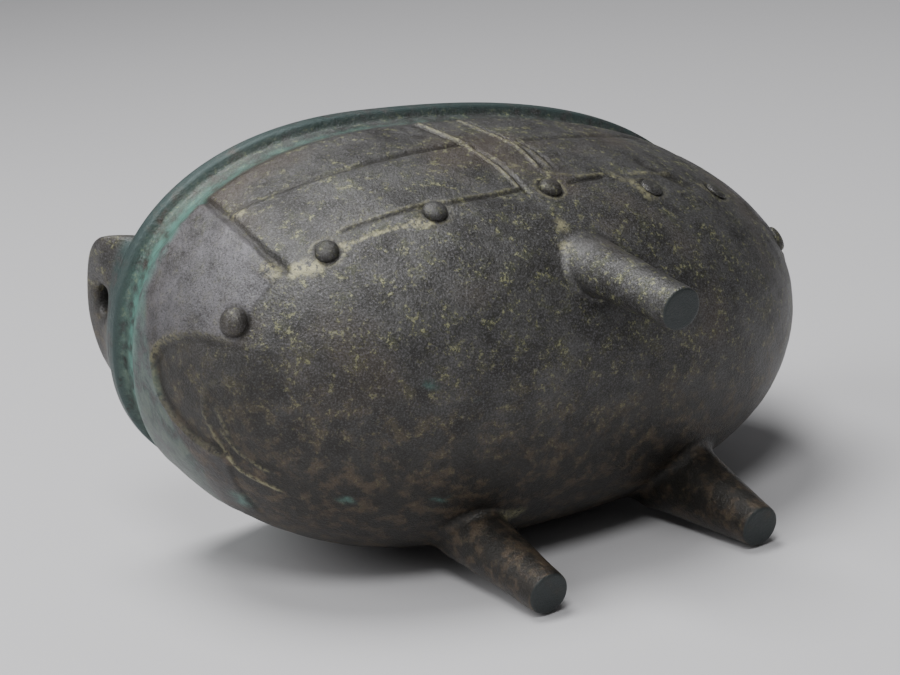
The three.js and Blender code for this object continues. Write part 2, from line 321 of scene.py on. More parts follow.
def relief(u, z, lines):
    """Push outwards, and the soil and painted shade of a set of lines."""
    push, soil, painted_shade_and_dark_tone = np.zeros_like(z), np.zeros_like(z), np.zeros_like(z)
    for item in lines:
        close = 1.0 - smooth(gap_to_line(u, z, item["line"]) / (2 * item["half"]))
        push += item["rise"] * close
        soil = np.maximum(soil, item.get("soil", 0.0) * close)
        painted_shade_and_dark_tone = np.maximum(painted_shade_and_dark_tone, item.get("painted_shade_and_dark_tone", 0.0) * close)
    return push, soil, painted_shade_and_dark_tone


def step(values, width=1.0):
    """0 below zero, 1 above, over the given width."""
    return smooth(values / width + 0.5)


def in_arch(y, z):
    """1 inside the arch of the full end, 0 outside."""
    top = max(range(len(ARCH)), key=lambda i: ARCH[i][1])
    left, right = ARCH[:top + 1], ARCH[:top - 1:-1]
    low = np.interp(z, [h for _, h in left], [v for v, _ in left])
    high = np.interp(z, [h for _, h in right], [v for v, _ in right])
    return step(y - low) * step(high - y) * step(ARCH_TOP - z)


def end_plates(x, y, z):
    """Raised plates round both ends: 1 on a plate, 0 off it."""
    full_end = step(PLATE_X - x) * (1.0 - in_arch(y, z))
    half = NARROW_ARCH_HALF * np.sqrt(np.clip((ARCH_TOP - z) / NARROW_ARCH_DEEP, 0.0, 1.0))
    narrow_end = step(x - NARROW_PLATE_X) * step(np.abs(y) - half)
    return (full_end + narrow_end) * step(z - PLATE_LOW)


def spots(x, y, z, kind):
    """Amount of soil or green of the small caked spots."""
    amount = np.zeros_like(z)
    for spot in SPOTS:
        px, py, pz = spot["at"]
        away = np.sqrt((x - px) ** 2 + (y - py) ** 2 + (z - pz) ** 2)
        close = 1.0 - smooth(away / (1.6 * spot["reach"]))
        amount = np.maximum(amount, spot.get(kind, 0.0) * close)
    return amount


def green_wash(x, y, z):
    """Green under the lip, widest and strongest round the full end."""
    round_by = np.degrees(np.arctan2(y, WIDEST_X - x))
    floor = np.interp(round_by, *zip(*GREEN_FLOOR))
    strength = np.interp(round_by, *zip(*GREEN_STRENGTH))
    near_lip = smooth((z - GREEN_FULL_Z) / 5.0)
    below_lip = 1.0 - 0.6 * smooth((z - NECK_Z) / 1.5)
    return strength * smooth((z - floor) / 2.0) * (0.3 + 0.7 * near_lip) * below_lip


def stud_rings(points):
    """Soil outside every stud, and painted shade in the crease round it."""
    soil, painted_shade_and_dark_tone = np.zeros(points.shape[:2]), np.zeros(points.shape[:2])
    for place, _, stud in stud_seats():
        away = np.linalg.norm(points - place, axis=2)
        in_crease = 1.0 - smooth(np.abs(away - stud["r"] - CREASE_AT) / CREASE_HALF)
        outside_it = 1.0 - smooth(np.abs(away - stud["r"] - RING_SOIL_AT) / RING_SOIL_HALF)
        painted_shade_and_dark_tone = np.maximum(painted_shade_and_dark_tone, in_crease)
        soil = np.maximum(soil, stud["ring"] * outside_it)
    return soil, painted_shade_and_dark_tone


# ==========================================================================
# Bowl
# ==========================================================================
# Spacing of the rows of the outside, and the heights between which they are closer.
ROW_SPACING = 1.3
LIP_ROW_SPACING = 0.55
CLOSE_ROWS = [(40.0, 82.0, 0.72), (43.0, 49.5, 0.4), (63.0, 71.0, 0.46)]
# Spacing of its columns, and where they are closer along the length.
SIDE_SPACING = 0.82
HIDDEN_SPACING = 1.6
PANEL_SPACING = 0.42
PANEL_FROM, PANEL_TO = -14.0, 7.0
FULL_END_SPACING = 0.68
FULL_END_X = -62.0
PLATE_EDGE_SPACING = 0.4
PLATE_EDGE_REACH = 2.0
FINE_STEPS = 6000


def outer_heights():
    """Heights of the rows on the outside, close together at the lines."""
    t = np.linspace(0.004, 1.0, FINE_STEPS)
    z = BELLY_BOTTOM + DEPTH * t ** 2
    r = fullness((z - BELLY_BOTTOM) / DEPTH) * FULL_END - neck_in(z)
    spacing = np.full_like(z, ROW_SPACING)
    for low, high, close in CLOSE_ROWS:
        spacing = np.where((z > low) & (z < high), close, spacing)
    spacing = np.where(z > NECK_Z, LIP_ROW_SPACING, spacing)
    return spread(z, path_lengths(r, z), spacing)


def column_angles():
    """Plan angles of the columns, close together at the upright lines."""
    a = np.linspace(0, 2 * math.pi, 16001)
    x, y = plan_point(a, 1.0, 0.0)
    front = y < 0
    spacing = np.where(front, SIDE_SPACING, HIDDEN_SPACING)
    spacing = np.where(front & (x > PANEL_FROM) & (x < PANEL_TO), PANEL_SPACING, spacing)
    spacing = np.where(x < FULL_END_X, FULL_END_SPACING, spacing)
    at_edge = near(x, PLATE_X, PLATE_EDGE_REACH) * front
    spacing = spacing + (PLATE_EDGE_SPACING - spacing) * at_edge
    return spread(a, path_lengths(x, y), spacing)[:-1]


STRAIGHT_DOWN_TO = 0.9       # fullness below which the columns converge
STRAIGHT_FROM, STRAIGHT_TO = -62.0, 58.5    # x between which columns run upright


def wall_angle(x, full):
    """Plan angle, 0 to pi, at which a section of that fullness reaches x."""
    q = (x - WIDEST_X * full) / full
    q = q / np.where(q >= 0, NARROW_END, FULL_END)
    return np.arccos(signed_power(np.clip(q, -1.0, 1.0), PLAN_POWER / 2))


def straightened(angle, full):
    """Column angles that keep a column of a long side at one x."""
    f = np.maximum(full, STRAIGHT_DOWN_TO)
    half = np.minimum(angle, 2 * math.pi - angle)
    x, _ = plan_point(half, 1.0, 0.0)
    turned = wall_angle(np.clip(x, STRAIGHT_FROM, STRAIGHT_TO), f)
    low, low_full = wall_angle(STRAIGHT_TO, f), wall_angle(STRAIGHT_TO, 1.0)
    high, high_full = wall_angle(STRAIGHT_FROM, f), wall_angle(STRAIGHT_FROM, 1.0)
    turned = np.where(x > STRAIGHT_TO, half * low / low_full, turned)
    past = math.pi - (math.pi - half) * (math.pi - high) / (math.pi - high_full)
    turned = np.where(x < STRAIGHT_FROM, past, turned)
    return np.where(angle > math.pi, 2 * math.pi - turned, turned)


def leg_axis(leg, z):
    """Middle of a leg at a height z."""
    t = z / LEG_ROOT
    foot, root = np.array(leg["foot"]), np.array(leg["root"])
    return foot[0] + (root[0] - foot[0]) * t, foot[1] + (root[1] - foot[1]) * t


def leg_radii(leg, z):
    """Half widths of a leg at a height z, along its facing and across it."""
    grow = np.clip(z / LEG_ROOT, 0.0, 1.0) ** LEG_FLARE
    return (LEG_TIP_R + (leg["outward"] - LEG_TIP_R) * grow,
            LEG_TIP_R + (leg["sideways"] - LEG_TIP_R) * grow)


def leg_facing(leg):
    """Angle at which a leg faces away from the vessel's middle."""
    return math.atan2(leg["foot"][1], leg["foot"][0])


HAND_WAVES = 7


def hand_made(x, y, z, size, seed):
    """Slow unevenness of a wall shaped by hand, from about -1 to 1."""
    rng = np.random.default_rng(seed)
    total = np.zeros_like(x)
    for _ in range(HAND_WAVES):
        d = rng.normal(size=3)
        d = d / np.linalg.norm(d) * 2 * math.pi / (size * rng.uniform(0.7, 1.6))
        total += np.sin(x * d[0] + y * d[1] + z * d[2] + rng.uniform(0, 2 * math.pi))
    return total / 4.0


# Dents and lumps of the outside: height, size and seed.
UNEVEN = [(0.18, 34.0, 3), (0.07, 9.0, 4), (0.035, 3.4, 5)]


def unevenness(x, y, z):
    """Slow dents and finer lumps of the outside, in millimetres."""
    return sum(height * hand_made(x, y, z, size, seed) for height, size, seed in UNEVEN)


SIDE_FROM_Y = 8.0            # how far from the middle the long side's lines begin
SIDE_PAST_PLATE = 2.4        # how far they run on past the full end's plate edge
END_PAST_PLATE = 4.0         # how far the end's lines run back from it
LINES_FADE = 4.0             # height over which plates and unevenness end under the lip
EVEN_FROM = 82.0             # height from which the wall grows even, up to the lip


def bowl_outside():
    """Grid of the outside and its masks."""
    z_rows = outer_heights()
    angles = column_angles()
    z = np.repeat(z_rows[:, None], len(angles), axis=1)
    full = fullness((z - BELLY_BOTTOM) / DEPTH)
    turned = straightened(np.repeat(angles[None, :], len(z_rows), axis=0), full)
    x, y = plan_point(turned, full, neck_in(z))
    points = np.stack([x, y, z], axis=2)
    front = step(-y - SIDE_FROM_Y, 4.0) * step(x - PLATE_X + SIDE_PAST_PLATE, 2.0)
    full_end = step(PLATE_X + END_PAST_PLATE - x, 2 * END_PAST_PLATE)
    lines = relief(x, z, WALL_LINES + WALL_SOIL)
    ends = relief(y, z, END_LINES)
    push, soil, painted_shade_and_dark_tone = (front * a + full_end * b for a, b in zip(lines, ends))
    plates = end_plates(x, y, z) * (1.0 - smooth((z - NECK_START) / LINES_FADE))
    arch = in_arch(y, z) * full_end * step(z - ARCH_FOOT, 6.0)
    ring_soil, ring_shade = stud_rings(points)
    push += PLATE_PROUD * plates - ARCH_SUNK * arch - CREASE_DEEP * ring_shade
    push += unevenness(x, y, z) * (1.0 - smooth((z - EVEN_FROM) / LINES_FADE))
    # Painted shade in the grooves, in the crease round each stud and over the sunk arch of the full end.
    masks = dict(soil=np.maximum(np.maximum(soil, ring_soil), spots(x, y, z, "soil")),
                 painted_shade_and_dark_tone=np.maximum(np.maximum(painted_shade_and_dark_tone, 0.8 * ring_shade), 0.35 * arch),
                 green=np.maximum(green_wash(x, y, z), spots(x, y, z, "green")),
                 plate=plates)
    return points + normals_of(points) * push[:, :, None], masks


INSIDE_ROWS = 24
NECK_INSIDE = 0.8            # part of the neck's drawing in that shows inside
INSIDE_DENT = 0.25


def bowl_inside(columns):
    """Grid of the inside, from the lip down to the bottom."""
    low = BELLY_BOTTOM + FLOOR
    t = np.linspace(1.0, 0.02, INSIDE_ROWS)
    z_rows = low + (LIP_TOP - LIP_ROUND - low) * t ** 1.7
    z = np.repeat(z_rows[:, None], len(columns), axis=1)
    full = fullness((z - low) / (LIP_TOP - low))
    angle = np.repeat(columns[None, :], len(z_rows), axis=0)
    x, y = plan_point(angle, full, WALL + NECK_INSIDE * neck_in(z))
    points = np.stack([x, y, z], axis=2)
    bump = INSIDE_DENT * hand_made(x, y, z, 26.0, 8) * smooth((LIP_FOOT - z) / 6.0)
    return points + normals_of(points) * bump[:, :, None]


LIP_STEPS = 5


def lip_rows(columns):
    """Rounded top of the lip, from the outer edge over to the inner."""
    def height(turn):
        return LIP_TOP - LIP_ROUND + LIP_ROUND * math.sin(turn)

    outer = np.linspace(0.0, math.pi / 2, LIP_STEPS)[1:]
    inner = np.linspace(math.pi / 2, math.pi, LIP_STEPS)[:-1]
    rows = [(LIP_ROUND * (1 - math.cos(turn)), height(turn)) for turn in outer]
    rows += [(WALL - LIP_ROUND * (1 + math.cos(turn)), height(turn)) for turn in inner]
    grid = []
    for drawn_in, z in rows:
        x, y = plan_point(columns, 1.0, drawn_in)
        grid.append(np.stack([x, y, np.full_like(x, z)], axis=1))
    return np.array(grid)


# ==========================================================================
# Mesh collecting
# ==========================================================================
MASKS = ("soil", "painted_shade_and_dark_tone", "green", "plate", "tip")


class Casting:
    """Vertices, faces and masks of the whole casting, gathered part by part."""

    def __init__(self):
        self.points, self.quads, self.tris = [], [], []
        self.masks = {name: [] for name in MASKS}
        self.count = 0

    def add_points(self, points, masks):
        points = np.asarray(points, dtype=float).reshape(-1, 3)
        self.points.append(points)
        for name in MASKS:
            values = np.asarray(masks.get(name, 0.0), dtype=float).reshape(-1)
            self.masks[name].append(np.broadcast_to(values, (len(points),)))
        first = self.count
        self.count += len(points)
        return first

    def add_tube(self, grid, masks=None, low_pole=None, high_pole=None):
        """Rings joined into a tube, with a point at either end if given."""
        rows, columns = grid.shape[:2]
        masks = masks or {}
        first = self.add_points(grid, masks)
        index = first + np.arange(rows * columns).reshape(rows, columns)
        right = np.roll(index, -1, axis=1)
        quads = np.stack([index[:-1], right[:-1], right[1:], index[1:]], axis=2)
        self.quads.append(quads.reshape(-1, 4))
        for pole, ring, flip in ((low_pole, 0, True), (high_pole, rows - 1, False)):
            if pole is None:
                continue
            tip_masks = {k: np.asarray(v).reshape(rows, columns)[ring].mean() for k, v in masks.items()}
            tip = self.add_points([pole], tip_masks)
            a, b = index[ring], right[ring]
            tip = np.full_like(a, tip)
            fan = np.stack([b, a, tip] if flip else [a, b, tip], axis=1)
            self.tris.append(fan)

    def add_mesh(self, mesh, masks):
        points = np.empty(len(mesh.vertices) * 3)
        mesh.vertices.foreach_get("co", points)
        first = self.add_points(points / MM, masks)
        for face in mesh.polygons:
            corners = np.array(face.vertices) + first
            (self.quads if len(corners) == 4 else self.tris).append(corners[None, :])

    def to_object(self, name, material):
        """One mesh object of everything gathered, with its masks as attributes."""
        quads, tris = np.concatenate(self.quads), np.concatenate(self.tris)
        mesh = bpy.data.meshes.new(name)
        points = np.concatenate(self.points) * MM
        mesh.vertices.add(len(points))
        mesh.vertices.foreach_set("co", points.ravel())
        loops = np.concatenate([quads.ravel(), tris.ravel()])
        mesh.loops.add(len(loops))
        mesh.loops.foreach_set("vertex_index", loops)
        starts = np.concatenate([np.arange(len(quads)) * 4, len(quads) * 4 + np.arange(len(tris)) * 3])
        mesh.polygons.add(len(starts))
        mesh.polygons.foreach_set("loop_start", starts)
        mesh.update(calc_edges=True)
        mesh.validate()
        for mask, values in self.masks.items():
            layer = mesh.attributes.new(mask, "FLOAT", "POINT")
            layer.data.foreach_set("value", np.concatenate(values).astype(np.float32))
        mesh.shade_smooth()
        mesh.materials.append(material)
        piece = bpy.data.objects.new(name, mesh)
        bpy.context.scene.collection.objects.link(piece)
        return piece


def add_bowl(casting):
    """Outside, lip and inside as one closed skin."""
    outside, masks = bowl_outside()
    columns = column_angles()
    keep = outside[:, 0, 2] < LIP_TOP - LIP_ROUND - 0.1
    outside = outside[keep]
    masks = {k: v[keep] for k, v in masks.items()}
    top = lip_rows(columns)
    inside = bowl_inside(columns)
    grid = np.concatenate([outside, top, inside])
    rows = len(grid) - len(outside)
    masks = {k: np.concatenate([v, np.zeros((rows, v.shape[1]))]) for k, v in masks.items()}
    casting.add_tube(grid, masks, low_pole=(0, 0, BELLY_BOTTOM), high_pole=(0, 0, BELLY_BOTTOM + FLOOR))


def leg_side(leg, turn, z, seed):
    """Points of a leg's side at angles round it and heights, turned to face outwards."""
    cx, cy = leg_axis(leg, z)
    out_r, side_r = leg_radii(leg, z)
    c, s = math.cos(leg_facing(leg)), math.sin(leg_facing(leg))
    u, v = out_r * np.cos(turn), side_r * np.sin(turn)
    x, y = u * c - v * s, u * s + v * c
    size = 1.0 + LEG_DENTS * hand_made(cx + x, cy + y, z, LEG_DENT_SIZE, seed) * smooth(z / 2.0)
    return np.stack([cx + x * size, cy + y * size, z], axis=-1)


LEAST_FULL = 0.02            # keeps the gap finite under the bowl
SLOPE_STEP = 0.01
LANDING_STEPS = 8
HALVINGS = 40


def outside_gap(points):
    """Below 0 inside the plain bowl and above 0 outside it."""
    x, y, z = np.moveaxis(points, -1, 0)
    full = np.maximum(LEAST_FULL, fullness((z - BELLY_BOTTOM) / DEPTH))
    off = x - WIDEST_X * full
    reach = np.where(off >= 0, NARROW_END, FULL_END)
    along = (np.abs(off) / (reach * full)) ** PLAN_POWER
    across = (np.abs(y) / (HALF_WIDTH * full)) ** PLAN_POWER
    return along + across - 1.0


def bowl_slope(points):
    """How fast the gap grows along x, y and z."""
    shifts = SLOPE_STEP * np.eye(3)
    grows = [(outside_gap(points + d) - outside_gap(points - d)) / (2 * SLOPE_STEP) for d in shifts]
    return np.stack(grows, axis=-1)


def on_bowl(points):
    """The points moved onto the outside of the bowl, and its normals there."""
    for _ in range(LANDING_STEPS):
        slope = bowl_slope(points)
        points = points - slope * (outside_gap(points) / (slope ** 2).sum(axis=-1))[:, None]
    slope = bowl_slope(points)
    normals = slope / np.linalg.norm(slope, axis=-1, keepdims=True)
    return points, normals


def leg_meets_bowl(leg, turn, seed):
    """Height at which each column of a leg's side runs into the bowl."""
    low, high = np.full_like(turn, 3.0), np.full_like(turn, LEG_TOP)
    for _ in range(HALVINGS):
        middle = (low + high) / 2
        outside = outside_gap(leg_side(leg, turn, middle, seed)) > 0
        low, high = np.where(outside, middle, low), np.where(outside, high, middle)
    return low


def raised(points, normals, extra):
    """Points lifted with the unevenness of the wall, and by the extra."""
    return points + normals * (unevenness(*points.T) + extra)[:, None]


FILLET_SUNK = 0.05           # how far the fillet's end lies below the wall
FILLET_ON, FILLET_DOWN = 0.8, 1.1      # where its hidden last ring goes from there
# Painted shade where a leg runs into the bowl: over how many rows from its end, and how dark.
CREASE_ROWS = 4.0
CREASE_SHADE = 0.25


def leg_tip(leg, turn, centre, seed):
    """Rings of the flat tip and its rounded edge, from the middle outwards."""
    flat = leg_side(leg, turn, np.zeros_like(turn), seed) - centre
    rings = [centre + flat * (1 - inset / LEG_TIP_R) for inset in LEG_TIP_INSETS]
    for t in np.linspace(0, math.pi / 2, LEG_EDGE_STEPS):
        ring = centre + flat * (1 - LEG_EDGE * (1 - math.sin(t)) / LEG_TIP_R)
        ring[:, 2] = LEG_EDGE * (1 - math.cos(t))
        rings.append(ring)
    return rings


def leg_fillet(leg, turn, top, start, seed):
    """Rings that run from the leg's side out onto the bowl, the last one inside its wall."""
    meet, normals = on_bowl(leg_side(leg, turn, top, seed))
    axis = np.stack(leg_axis(leg, top), axis=-1)
    away = np.concatenate([meet[:, :2] - axis, np.zeros((LEG_COLUMNS, 1))], axis=1)
    away -= normals * (away * normals).sum(axis=1, keepdims=True)
    away /= np.linalg.norm(away, axis=1, keepdims=True)
    out, out_normals = on_bowl(meet + away * leg["fillet"])
    corner = raised(meet, normals, 0.0)
    end = raised(out, out_normals, -FILLET_SUNK)
    rings = [(1 - t) ** 2 * start + 2 * t * (1 - t) * corner + t ** 2 * end
             for t in np.linspace(0, 1, LEG_FILLET_STEPS)[1:]]
    rings.append(end + away * FILLET_ON - out_normals * FILLET_DOWN)
    return rings


def add_leg(casting, leg, seed):
    """A round foot that grows to a broader root and runs out onto the bowl."""
    turn = np.linspace(0, 2 * math.pi, LEG_COLUMNS, endpoint=False)
    centre = np.array([*leg["foot"], 0.0])
    top = leg_meets_bowl(leg, turn, seed)
    rings = leg_tip(leg, turn, centre, seed)
    tip_rings = len(rings)
    for t in np.linspace(0.03, 1.0, LEG_SHAFT_STEPS):
        rings.append(leg_side(leg, turn, LEG_EDGE + t * (top - leg["fillet"] - LEG_EDGE), seed))
    rings += leg_fillet(leg, turn, top, rings[-1], seed)
    grid = np.array(rings)
    tips = np.zeros(grid.shape[:2])
    tips[:tip_rings - 2] = 1.0
    x, y, z = np.moveaxis(grid, 2, 0)
    # Painted shade in the crease where the leg meets the bowl.
    from_end = np.arange(len(grid)) - len(grid) + CREASE_ROWS
    crease = np.exp(-(from_end / CREASE_ROWS) ** 2)[:, None] * np.ones_like(x)
    masks = dict(tip=tips, soil=spots(x, y, z, "soil"), painted_shade_and_dark_tone=CREASE_SHADE * crease)
    casting.add_tube(grid, masks, low_pole=centre, high_pole=grid[-1].mean(axis=0))


def ear_outline(t):
    """Outer edge of the ear at an angle t round it, as (y, height above the lip)."""
    y = EAR_HALF * signed_power(np.cos(t), 2 / EAR_POWER)
    up = np.abs(np.sin(t)) ** (2 / EAR_POWER)
    return y, np.where(np.sin(t) >= 0, EAR_RISE * up, -EAR_ROOT * up)


def ear_hole(t):
    """Edge of the hole at an angle t round it."""
    middle, half = (EAR_HOLE_LOW + EAR_HOLE_TOP) / 2, (EAR_HOLE_TOP - EAR_HOLE_LOW) / 2
    y = EAR_HOLE_HALF * signed_power(np.cos(t), 2 / EAR_POWER)
    return y, middle + half * signed_power(np.sin(t), 2 / EAR_POWER)


def add_ear(casting, ear):
    """A flat upright arch with a small hole, its foot bent round with the lip."""
    t = np.linspace(0, 2 * math.pi, EAR_STEPS_AROUND, endpoint=False)[:, None]
    v = np.linspace(0, 2 * math.pi, EAR_STEPS_ACROSS, endpoint=False)[None, :]
    over = signed_power(np.cos(v), 0.5)
    back = 0.5 + 0.5 * signed_power(np.sin(v), 0.42)
    (oy, oh), (hy, hh) = ear_outline(t), ear_hole(t)
    along = (oy + hy) / 2 + (oy - hy) / 2 * over
    rise = (oh + hh) / 2 + (oh - hh) / 2 * over
    foot_swell = EAR_FOOT_SWELL * np.exp(-np.maximum(rise, 0.0) / 1.2)
    back = back * (EAR_THICK + 2 * foot_swell) - foot_swell
    side = ear["side"]
    y = ear["y"] - side * along
    flat = side * (HALF_LENGTH - 1.0) + ear["turn"] * (y - ear["y"])
    foot = lip_x(y, side) - side * EAR_SET_IN
    x = foot + (flat - foot) * smooth(rise / EAR_STRAIGHT) - side * back
    z = LIP_TOP + rise
    grid = np.stack([x, y, z], axis=2)
    grid[:, :, 0] += EAR_DENT * hand_made(x, y, z, 11.0, 21 + side)
    casting.add_tube(np.concatenate([grid, grid[:1]]))


# ==========================================================================
# Node trees
# ==========================================================================
class Nodes:
    """Short calls for building a node tree."""

    def __init__(self, tree):
        self.tree = tree

    def add(self, kind, **values):
        node = self.tree.nodes.new(kind)
        for key, value in values.items():
            if hasattr(node, key):
                setattr(node, key, value)
            else:
                node.inputs[key].default_value = value
        return node

    def link(self, out, into):
        self.tree.links.new(out, into)

    def noise(self, vector, scale, detail, rough=0.55):
        node = self.add("ShaderNodeTexNoise", Scale=scale, Detail=detail, Roughness=rough)
        self.link(vector, node.inputs["Vector"])
        return node.outputs["Fac"]

    def moved(self, vector, amount):
        """The same coordinates, shifted, for a pattern of its own."""
        node = self.add("ShaderNodeVectorMath", operation="ADD")
        self.link(vector, node.inputs[0])
        node.inputs[1].default_value = (amount, amount, amount)
        return node.outputs["Vector"]

    def ramp(self, value, low, high):
        """0 below low, 1 above high, smooth between."""
        node = self.add("ShaderNodeMapRange", interpolation_type="SMOOTHSTEP")
        node.inputs["From Min"].default_value = low
        node.inputs["From Max"].default_value = high
        self.link(value, node.inputs["Value"])
        return node.outputs["Result"]

    def math(self, operation, a, b=0.0):
        node = self.add("ShaderNodeMath", operation=operation)
        for socket, value in zip(node.inputs, (a, b)):
            if isinstance(value, (int, float)):
                socket.default_value = value
            else:
                self.link(value, socket)
        return node.outputs[0]

    def mix(self, amount, under, over):
        """Colour over laid on colour under by amount."""
        node = self.add("ShaderNodeMix", data_type="RGBA")
        factor, _, _, _, _, _, first, second = node.inputs[:8]
        for socket, value in ((factor, amount), (first, under), (second, over)):
            if isinstance(value, (int, float)):
                socket.default_value = value
            elif isinstance(value, tuple):
                socket.default_value = (*value, 1.0)
            else:
                self.link(value, socket)
        return node.outputs[2]


# ==========================================================================
# Studs: one dome set on many points by Geometry Nodes
# ==========================================================================
SEAT_STEPS = 7200
WRONG_SIDE = 300.0           # added to the miss of a place on the other side


def stud_seats():
    """Point on the wall, outward normal and the stud itself, for every stud."""
    fine = np.linspace(0, 2 * math.pi, SEAT_STEPS, endpoint=False)

    def wall(angle, z):
        full = fullness((z - BELLY_BOTTOM) / DEPTH)
        x, y = plan_point(angle, full, neck_in(np.array(z)))
        return np.stack([x, y, np.full_like(x, z)], axis=-1)

    seats = []
    for stud in STUDS:
        x, y, _ = wall(fine, stud["z"]).T
        if "x" in stud:
            miss = np.abs(x - stud["x"]) + WRONG_SIDE * (y > 0)
        else:
            miss = np.abs(y - stud["y"]) + WRONG_SIDE * (x * stud["side"] < 0)
        angle = fine[int(np.argmin(miss))]
        at = wall(angle, stud["z"])
        normal = np.cross(wall(angle + 0.001, stud["z"]) - at, wall(angle, stud["z"] + 0.05) - at)
        seats.append((at, normal / np.linalg.norm(normal), stud))
    return seats


def stud_tree(material):
    """Sets a low dome on every point, turned to its normal, as wide and proud as it says."""
    tree = bpy.data.node_groups.new("studs on a wall", "GeometryNodeTree")
    face = tree.interface
    for name, kind in (("Geometry", "Geometry"), ("Roundness", "Float"), ("Seed", "Int")):
        face.new_socket(name, in_out="INPUT", socket_type="NodeSocket" + kind)
    face.new_socket("Geometry", in_out="OUTPUT", socket_type="NodeSocketGeometry")
    n = Nodes(tree)
    given, made = n.add("NodeGroupInput").outputs, n.add("NodeGroupOutput").inputs

    def named(name, kind):
        node = n.add("GeometryNodeInputNamedAttribute", data_type=kind, Name=name)
        return node.outputs["Attribute"]

    def combined(*parts):
        node = n.add("ShaderNodeCombineXYZ")
        for part, socket in zip(parts, node.inputs):
            n.link(part, socket)
        return node.outputs["Vector"]

    dome = n.add("GeometryNodeMeshUVSphere", Segments=28, Rings=18, Radius=1.0)
    axes = n.add("ShaderNodeSeparateXYZ")
    n.link(n.add("GeometryNodeInputPosition").outputs["Position"], axes.inputs["Vector"])
    x, y, z = axes.outputs
    flatter = n.math("POWER", n.math("ABSOLUTE", z), given["Roundness"])
    flatter = n.math("MULTIPLY", flatter, n.math("SIGN", z))
    shape = n.add("GeometryNodeSetPosition")
    n.link(dome.outputs["Mesh"], shape.inputs["Geometry"])
    n.link(combined(x, y, flatter), shape.inputs["Position"])

    turn = n.add("FunctionNodeAlignRotationToVector", axis="Z")
    n.link(named("outward", "FLOAT_VECTOR"), turn.inputs["Vector"])
    vary = n.add("FunctionNodeRandomValue", data_type="FLOAT")
    vary.inputs[2].default_value = STUD_LEAST
    vary.inputs[3].default_value = STUD_MOST
    n.link(given["Seed"], vary.inputs["Seed"])
    width = n.math("MULTIPLY", named("radius", "FLOAT"), vary.outputs[1])
    seat = n.add("GeometryNodeInstanceOnPoints")
    n.link(given["Geometry"], seat.inputs["Points"])
    n.link(shape.outputs["Geometry"], seat.inputs["Instance"])
    n.link(turn.outputs["Rotation"], seat.inputs["Rotation"])
    n.link(combined(width, width, named("proud", "FLOAT")), seat.inputs["Scale"])
    real = n.add("GeometryNodeRealizeInstances")
    n.link(seat.outputs["Instances"], real.inputs["Geometry"])
    paint = n.add("GeometryNodeSetMaterial", Material=material)
    n.link(real.outputs["Geometry"], paint.inputs["Geometry"])
    n.link(paint.outputs["Geometry"], made["Geometry"])
    return tree


def add_studs(casting, material):
    """All studs, set on their seats and joined to the casting."""
    seats = stud_seats()
    mesh = bpy.data.meshes.new("stud seats")
    mesh.from_pydata([place * MM for place, _, _ in seats], [], [])
    outward = mesh.attributes.new("outward", "FLOAT_VECTOR", "POINT")
    outward.data.foreach_set("vector", np.array([normal for _, normal, _ in seats]).ravel())
    for name, key in (("radius", "r"), ("proud", "proud")):
        layer = mesh.attributes.new(name, "FLOAT", "POINT")
        layer.data.foreach_set("value", [stud[key] * MM for _, _, stud in seats])
    holder = bpy.data.objects.new("stud seats", mesh)
    bpy.context.scene.collection.objects.link(holder)
    modifier = holder.modifiers.new("studs", "NODES")
    modifier.node_group = stud_tree(material)
    sockets = {s.name: s.identifier for s in modifier.node_group.interface.items_tree
               if s.in_out == "INPUT"}
    modifier[sockets["Roundness"]] = STUD_ROUNDNESS
    modifier[sockets["Seed"]] = 5
    ready = holder.evaluated_get(bpy.context.evaluated_depsgraph_get())
    domes = bpy.data.meshes.new_from_object(ready)
    # The domes are darkened a little all over: a darker tone of their own.
    casting.add_mesh(domes, dict(painted_shade_and_dark_tone=0.3))
    bpy.data.objects.remove(holder)
    bpy.data.meshes.remove(domes)
    bpy.data.meshes.remove(mesh)


# ==========================================================================
# Bronze patina
# ==========================================================================
DARK = (0.026, 0.025, 0.023)
GREY = (0.098, 0.097, 0.094)
BROWN = (0.075, 0.053, 0.035)
OLIVE = (0.074, 0.080, 0.046)
SPECK = (0.28, 0.28, 0.15)
SOIL = (0.36, 0.34, 0.20)
TURQUOISE = (0.12, 0.27, 0.23)
TEAL = (0.045, 0.070, 0.068)
TIP_GREY = (0.030, 0.036, 0.036)
LILAC = (0.165, 0.160, 0.174)
# Near black: random grit, and the colour of the painted shade.
DARK_GRIT_AND_SHADE = (0.018, 0.016, 0.013)


LIP_TEAL_FROM, LIP_TEAL_FULL = 86.8, 88.2        # heights at which the lip's teal begins
LIP_TEAL_KEPT, LIP_TEAL_GONE = 91.5, 94.0        # and ends, on the ears' feet
# Painted shade: the bronze darkens towards +y, the side the vessel lies on.
SIDE_SHADE_FROM, SIDE_SHADE_FULL = -24.0, 18.0           # y over which the bronze darkens
SIDE_SHADE_STRENGTH = 0.85


def patina_noises(n, place):
    """The patterns that the colour, gloss and bump share."""
    return dict(broad=n.noise(place, 32.0, 3.0),
                cloud=n.noise(place, 130.0, 6.0, 0.68),
                blotch=n.noise(n.moved(place, 3.7), 300.0, 5.0, 0.65),
                grain=n.noise(place, 1000.0, 5.0, 0.72),
                spatter=n.noise(n.moved(place, 1.9), 900.0, 6.0, 0.72),
                grit=n.noise(place, 2600.0, 3.0, 0.65))


